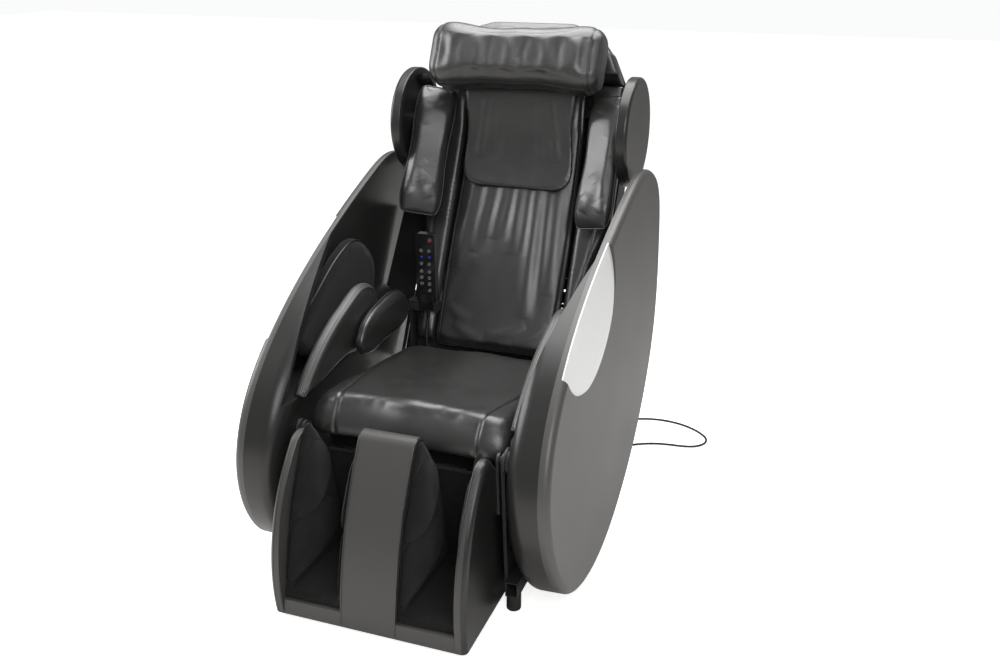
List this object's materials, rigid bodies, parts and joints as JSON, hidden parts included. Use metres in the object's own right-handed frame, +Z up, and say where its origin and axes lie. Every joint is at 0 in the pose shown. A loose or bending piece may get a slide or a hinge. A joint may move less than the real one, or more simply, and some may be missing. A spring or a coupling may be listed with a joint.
{
  "type": "massage chair",
  "caption": "Reclining massage chair with leaf-shaped side housings, padded arm troughs, shoulder wings, head pillow, corded handset and a swinging leg rest with two calf wells",
  "frame": {"origin": "on the floor, under the middle of the chair's bounding box", "axes": "the sitter faces -Y, the sitter's left hand is at +X, +Z is up"},
  "size_m": [0.9674, 1.3021, 1.2286],
  "materials": {
    "housing_paint": "dark grey metallic paint, satin",
    "pale_inset": "gloss",
    "leather": "semi-gloss",
    "cloth": "matte",
    "frame_steel": "satin",
    "rubber": "matte",
    "dark_plastic": "matte",
    "key_plastic": "matte",
    "bare_metal": "satin",
    "cast_body": "satin",
    "roller_plastic": "matte"
  },
  "bodies": {
    "base": {"base_frame": "frame_steel", "base_feet": "rubber", "seat_cushion": "leather", "left_side_panel": "housing_paint", "right_side_panel": "housing_paint", "left_panel_inset": "pale_inset", "right_panel_inset": "pale_inset", "left_inner_trim": "housing_paint", "right_inner_trim": "housing_paint", "left_arm_pad": "leather", "right_arm_pad": "leather", "left_hip_pad": "leather", "right_hip_pad": "leather", "left_forearm_pad": "cloth", "right_forearm_pad": "cloth", "control_box": "dark_plastic", "air_pump": "cast_body", "leg_motor": "cast_body", "power_inlet": "dark_plastic", "mains_cord": "rubber", "cord_coil": "rubber", "mains_plug": "rubber", "handset_case": "dark_plastic", "handset_cord": "rubber"},
    "back": {"back_frame": "frame_steel", "back_shell": "housing_paint", "left_shoulder_shell": "housing_paint", "right_shoulder_shell": "housing_paint", "back_cushion": "leather", "left_back_bolster": "leather", "right_back_bolster": "leather", "head_pad": "leather", "left_shoulder_pad": "leather", "right_shoulder_pad": "leather", "head_pillow": "leather", "pillow_flap": "leather"},
    "leg_rest": {"leg_rest_frame": "frame_steel", "leg_rest_shell": "housing_paint", "left_calf_liner": "cloth", "right_calf_liner": "cloth"},
    "carriage": {"massage_carriage": "frame_steel"},
    "lead_screw": {"lead_screw": "bare_metal"},
    "recline_actuator": {"recline_actuator": "cast_body"},
    "recline_rod": {"recline_rod": "bare_metal"},
    "power_switch": {"power_switch": "dark_plastic"},
    "left_wheel": {"left_wheel": "dark_plastic"},
    "right_wheel": {"right_wheel": "dark_plastic"},
    "left_massage_arm": {"left_massage_arm": "dark_plastic"},
    "left_upper_roller": {"left_upper_roller": "roller_plastic"},
    "left_lower_roller": {"left_lower_roller": "roller_plastic"},
    "right_massage_arm": {"right_massage_arm": "dark_plastic"},
    "right_upper_roller": {"right_upper_roller": "roller_plastic"},
    "right_lower_roller": {"right_lower_roller": "roller_plastic"},
    "handset_power_key": {"handset_power_key": "key_plastic"},
    "handset_keys_1": {"handset_keys_1": "key_plastic"},
    "handset_keys_2": {"handset_keys_2": "key_plastic"},
    "handset_keys_3": {"handset_keys_3": "key_plastic"},
    "handset_keys_4": {"handset_keys_4": "key_plastic"},
    "handset_keys_5": {"handset_keys_5": "key_plastic"},
    "handset_keys_6": {"handset_keys_6": "key_plastic"}
  },
  "joints": [
    {"name": "recline", "type": "hinge", "parent": "base", "child": "back", "pos_m": [0, 0.2, 0.33], "axis": [-1, 0, 0], "range_deg": [0, 48]},
    {"name": "leg_rest_lift", "type": "hinge", "parent": "base", "child": "leg_rest", "pos_m": [0, -0.415, 0.385], "axis": [-1, 0, 0], "range_deg": [0, 76]},
    {"name": "recline_actuator_swing", "type": "hinge", "parent": "base", "child": "recline_actuator", "pos_m": [0, 0.0425, 0.2181], "axis": [-1, 0, 0], "range_deg": [-1, 9]},
    {"name": "recline_rod_slide", "type": "slide", "parent": "recline_actuator", "child": "recline_rod", "axis": [0, 0.9295, 0.3687], "range_m": [-0.05, 0.001]},
    {"name": "massage_lift", "type": "slide", "parent": "back", "child": "carriage", "axis": [0, 0.4695, 0.8829], "range_m": [0, 0.385]},
    {"name": "lead_screw_turn", "type": "hinge", "parent": "back", "child": "lead_screw", "pos_m": [0, 0.26878, 0.36138], "axis": [0, 0.4695, 0.8829], "range_deg": [-5, 11700]},
    {"name": "left_massage_arm_swing", "type": "hinge", "parent": "carriage", "child": "left_massage_arm", "pos_m": [0.062, 0.33679, 0.54041], "axis": [1, 0, 0], "range_deg": [-10, 10]},
    {"name": "left_upper_roller_turn", "type": "hinge", "parent": "left_massage_arm", "child": "left_upper_roller", "pos_m": [0.083, 0.35619, 0.60032], "axis": [1, 0, 0], "continuous": true},
    {"name": "left_lower_roller_turn", "type": "hinge", "parent": "left_massage_arm", "child": "left_lower_roller", "pos_m": [0.083, 0.29797, 0.49083], "axis": [1, 0, 0], "continuous": true},
    {"name": "left_wheel_turn", "type": "hinge", "parent": "base", "child": "left_wheel", "pos_m": [0.214, 0.388, 0.036], "axis": [1, 0, 0], "continuous": true},
    {"name": "right_massage_arm_swing", "type": "hinge", "parent": "carriage", "child": "right_massage_arm", "pos_m": [-0.062, 0.33679, 0.54041], "axis": [1, 0, 0], "range_deg": [-10, 10]},
    {"name": "right_upper_roller_turn", "type": "hinge", "parent": "right_massage_arm", "child": "right_upper_roller", "pos_m": [-0.083, 0.35619, 0.60032], "axis": [1, 0, 0], "continuous": true},
    {"name": "right_lower_roller_turn", "type": "hinge", "parent": "right_massage_arm", "child": "right_lower_roller", "pos_m": [-0.083, 0.29797, 0.49083], "axis": [1, 0, 0], "continuous": true},
    {"name": "right_wheel_turn", "type": "hinge", "parent": "base", "child": "right_wheel", "pos_m": [-0.214, 0.388, 0.036], "axis": [1, 0, 0], "continuous": true},
    {"name": "power_switch_rock", "type": "hinge", "parent": "base", "child": "power_switch", "pos_m": [0.102, 0.341, 0.118], "axis": [1, 0, 0], "range_deg": [-9, 9]},
    {"name": "power_key_press", "type": "slide", "parent": "base", "child": "handset_power_key", "axis": [0, 1, 0], "range_m": [0, 0.0006], "stiffness_N_per_m": 300, "springref_m": -0.001},
    {"name": "keys_1_press", "type": "slide", "parent": "base", "child": "handset_keys_1", "axis": [0, 1, 0], "range_m": [0, 0.0006], "stiffness_N_per_m": 300, "springref_m": -0.001},
    {"name": "keys_2_press", "type": "slide", "parent": "base", "child": "handset_keys_2", "axis": [0, 1, 0], "range_m": [0, 0.0006], "stiffness_N_per_m": 300, "springref_m": -0.001},
    {"name": "keys_3_press", "type": "slide", "parent": "base", "child": "handset_keys_3", "axis": [0, 1, 0], "range_m": [0, 0.0006], "stiffness_N_per_m": 300, "springref_m": -0.001},
    {"name": "keys_4_press", "type": "slide", "parent": "base", "child": "handset_keys_4", "axis": [0, 1, 0], "range_m": [0, 0.0006], "stiffness_N_per_m": 300, "springref_m": -0.001},
    {"name": "keys_5_press", "type": "slide", "parent": "base", "child": "handset_keys_5", "axis": [0, 1, 0], "range_m": [0, 0.0006], "stiffness_N_per_m": 300, "springref_m": -0.001},
    {"name": "keys_6_press", "type": "slide", "parent": "base", "child": "handset_keys_6", "axis": [0, 1, 0], "range_m": [0, 0.0006], "stiffness_N_per_m": 300, "springref_m": -0.001}
  ],
  "couplings": [
    {"joint": "recline_actuator_swing", "follows": "recline", "ratio": 0.1695},
    {"joint": "recline_rod_slide", "follows": "recline", "m_per_rad": -0.057},
    {"joint": "lead_screw_turn", "follows": "massage_lift", "rad_per_m": 523.6},
    {"joint": "right_massage_arm_swing", "follows": "left_massage_arm_swing", "ratio": -1}
  ]
}
